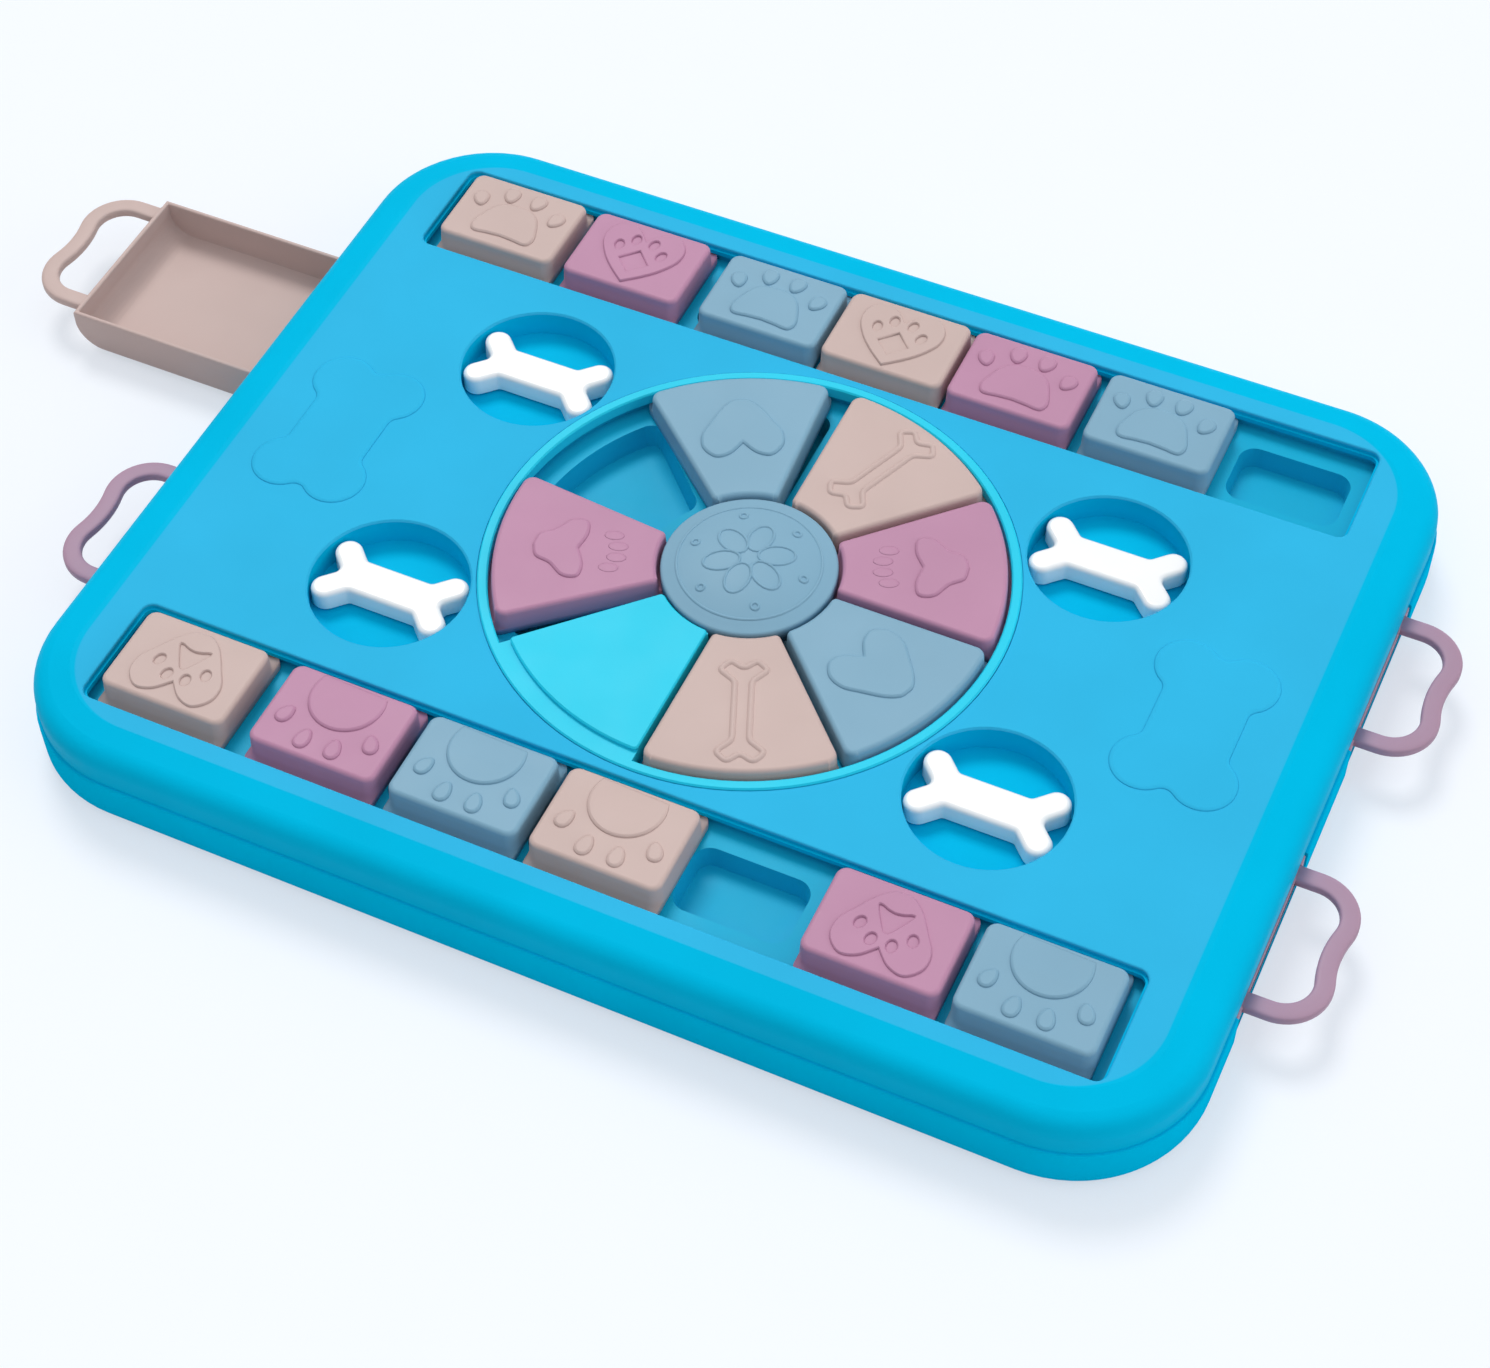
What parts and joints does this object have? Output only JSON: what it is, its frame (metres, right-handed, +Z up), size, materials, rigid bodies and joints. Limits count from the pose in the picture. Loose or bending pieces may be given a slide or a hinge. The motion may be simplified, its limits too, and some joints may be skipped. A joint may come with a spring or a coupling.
{
  "type": "dog puzzle feeder tray",
  "caption": "Shallow rounded puzzle tray for a dog, with treat pockets under sliding blocks and turning wedges, round bowls with lift-out bones, and pull-out drawers.",
  "frame": {"origin": "under the middle of the case, on the plane the rubber feet rest on", "axes": "+X along the tracks towards the right short side, +Y towards the back track, +Z up"},
  "size_m": [0.5348, 0.311, 0.0412],
  "materials": {
    "deck_cyan": "satin moulded plastic, sky cyan",
    "base_cyan": "satin moulded plastic, deeper cyan",
    "tray_turquoise": "smooth moulded plastic, turquoise",
    "beige": "satin moulded plastic, warm beige",
    "pink": "satin moulded plastic, dusty pink",
    "grey_blue": "satin moulded plastic, grey blue",
    "mauve": "satin moulded plastic, mauve",
    "white": "glossy white plastic",
    "foot_rubber": "soft dark rubber",
    "screw_steel": "plated steel"
  },
  "bodies": {
    "case": {"top_shell": "deck_cyan", "base_shell": "base_cyan", "back_track_tray": "tray_turquoise", "front_track_tray": "tray_turquoise", "wheel_tray": "tray_turquoise", "wheel_ring": "tray_turquoise", "hub_cap": "grey_blue", "hub_screw": "screw_steel", "case_screws": "screw_steel", "tray_screws": "screw_steel", "sector_screws": "screw_steel", "rubber_feet": "foot_rubber"},
    "back_block_1": {"back_block_1": "beige"},
    "back_block_2": {"back_block_2": "pink"},
    "back_block_3": {"back_block_3": "grey_blue"},
    "back_block_4": {"back_block_4": "beige"},
    "back_block_5": {"back_block_5": "pink"},
    "back_block_6": {"back_block_6": "grey_blue"},
    "front_block_1": {"front_block_1": "beige"},
    "front_block_2": {"front_block_2": "pink"},
    "front_block_3": {"front_block_3": "grey_blue"},
    "front_block_4": {"front_block_4": "beige"},
    "front_block_5": {"front_block_5": "pink"},
    "front_block_6": {"front_block_6": "grey_blue"},
    "wheel_wedge_1": {"wheel_wedge_1": "pink"},
    "wheel_wedge_2": {"wheel_wedge_2": "beige"},
    "wheel_wedge_3": {"wheel_wedge_3": "grey_blue"},
    "wheel_wedge_4": {"wheel_wedge_4": "pink"},
    "wheel_wedge_5": {"wheel_wedge_5": "beige"},
    "wheel_wedge_6": {"wheel_wedge_6": "grey_blue"},
    "right_back_drawer": {"right_back_drawer": "mauve"},
    "left_back_drawer": {"left_back_drawer": "beige"},
    "right_front_drawer": {"right_front_drawer": "mauve"},
    "left_front_drawer": {"left_front_drawer": "mauve"},
    "right_back_bone": {"right_back_bone": "white"},
    "left_back_bone": {"left_back_bone": "white"},
    "right_front_bone": {"right_front_bone": "white"},
    "left_front_bone": {"left_front_bone": "white"}
  },
  "joints": [
    {"name": "back_block_1_slide", "type": "slide", "parent": "case", "child": "back_block_1", "axis": [1, 0, 0], "range_m": [-0.00375, 0.0038]},
    {"name": "back_block_2_slide", "type": "slide", "parent": "case", "child": "back_block_2", "axis": [1, 0, 0], "range_m": [-0.0038, 0.0073]},
    {"name": "back_block_3_slide", "type": "slide", "parent": "case", "child": "back_block_3", "axis": [1, 0, 0], "range_m": [-0.0073, 0.0011]},
    {"name": "back_block_4_slide", "type": "slide", "parent": "case", "child": "back_block_4", "axis": [1, 0, 0], "range_m": [-0.0011, 0.0011]},
    {"name": "back_block_5_slide", "type": "slide", "parent": "case", "child": "back_block_5", "axis": [1, 0, 0], "range_m": [-0.0011, 0.0038]},
    {"name": "back_block_6_slide", "type": "slide", "parent": "case", "child": "back_block_6", "axis": [1, 0, 0], "range_m": [-0.0038, 0.04895]},
    {"name": "front_block_1_slide", "type": "slide", "parent": "case", "child": "front_block_1", "axis": [1, 0, 0], "range_m": [-0.00375, 0.0083]},
    {"name": "front_block_2_slide", "type": "slide", "parent": "case", "child": "front_block_2", "axis": [1, 0, 0], "range_m": [-0.0083, 0.0037]},
    {"name": "front_block_3_slide", "type": "slide", "parent": "case", "child": "front_block_3", "axis": [1, 0, 0], "range_m": [-0.0037, 0.0029]},
    {"name": "front_block_4_slide", "type": "slide", "parent": "case", "child": "front_block_4", "axis": [1, 0, 0], "range_m": [-0.0029, 0.0449]},
    {"name": "front_block_5_slide", "type": "slide", "parent": "case", "child": "front_block_5", "axis": [1, 0, 0], "range_m": [-0.0449, 0.0028]},
    {"name": "front_block_6_slide", "type": "slide", "parent": "case", "child": "front_block_6", "axis": [1, 0, 0], "range_m": [-0.0028, 0.00345]},
    {"name": "wheel_wedge_1_turn", "type": "hinge", "parent": "case", "child": "wheel_wedge_1", "pos_m": [0, 0, 0.0275], "axis": [0, 0, 1], "range_deg": [-0.85, 0.85]},
    {"name": "wheel_wedge_2_turn", "type": "hinge", "parent": "case", "child": "wheel_wedge_2", "pos_m": [0, 0, 0.0275], "axis": [0, 0, 1], "range_deg": [-0.85, 5.35]},
    {"name": "wheel_wedge_3_turn", "type": "hinge", "parent": "case", "child": "wheel_wedge_3", "pos_m": [0, 0, 0.0275], "axis": [0, 0, 1], "range_deg": [-5.35, 36.35]},
    {"name": "wheel_wedge_4_turn", "type": "hinge", "parent": "case", "child": "wheel_wedge_4", "pos_m": [0, 0, 0.0275], "axis": [0, 0, 1], "range_deg": [-36.35, 5.85]},
    {"name": "wheel_wedge_5_turn", "type": "hinge", "parent": "case", "child": "wheel_wedge_5", "pos_m": [0, 0, 0.0275], "axis": [0, 0, 1], "range_deg": [-0.85, 0.85]},
    {"name": "wheel_wedge_6_turn", "type": "hinge", "parent": "case", "child": "wheel_wedge_6", "pos_m": [0, 0, 0.0275], "axis": [0, 0, 1], "range_deg": [-0.85, 0.85]},
    {"name": "right_back_drawer_slide", "type": "slide", "parent": "case", "child": "right_back_drawer", "axis": [1, 0, 0], "range_m": [0, 0.084]},
    {"name": "left_back_drawer_slide", "type": "slide", "parent": "case", "child": "left_back_drawer", "axis": [-1, 0, 0], "range_m": [-0.08, 0.004]},
    {"name": "right_front_drawer_slide", "type": "slide", "parent": "case", "child": "right_front_drawer", "axis": [1, 0, 0], "range_m": [0, 0.084]},
    {"name": "left_front_drawer_slide", "type": "slide", "parent": "case", "child": "left_front_drawer", "axis": [-1, 0, 0], "range_m": [0, 0.084]},
    {"name": "right_back_bone_lift", "type": "slide", "parent": "case", "child": "right_back_bone", "axis": [0, 0, 1], "range_m": [0, 0.06]},
    {"name": "left_back_bone_lift", "type": "slide", "parent": "case", "child": "left_back_bone", "axis": [0, 0, 1], "range_m": [0, 0.06]},
    {"name": "right_front_bone_lift", "type": "slide", "parent": "case", "child": "right_front_bone", "axis": [0, 0, 1], "range_m": [0, 0.06]},
    {"name": "left_front_bone_lift", "type": "slide", "parent": "case", "child": "left_front_bone", "axis": [0, 0, 1], "range_m": [0, 0.06]}
  ]
}
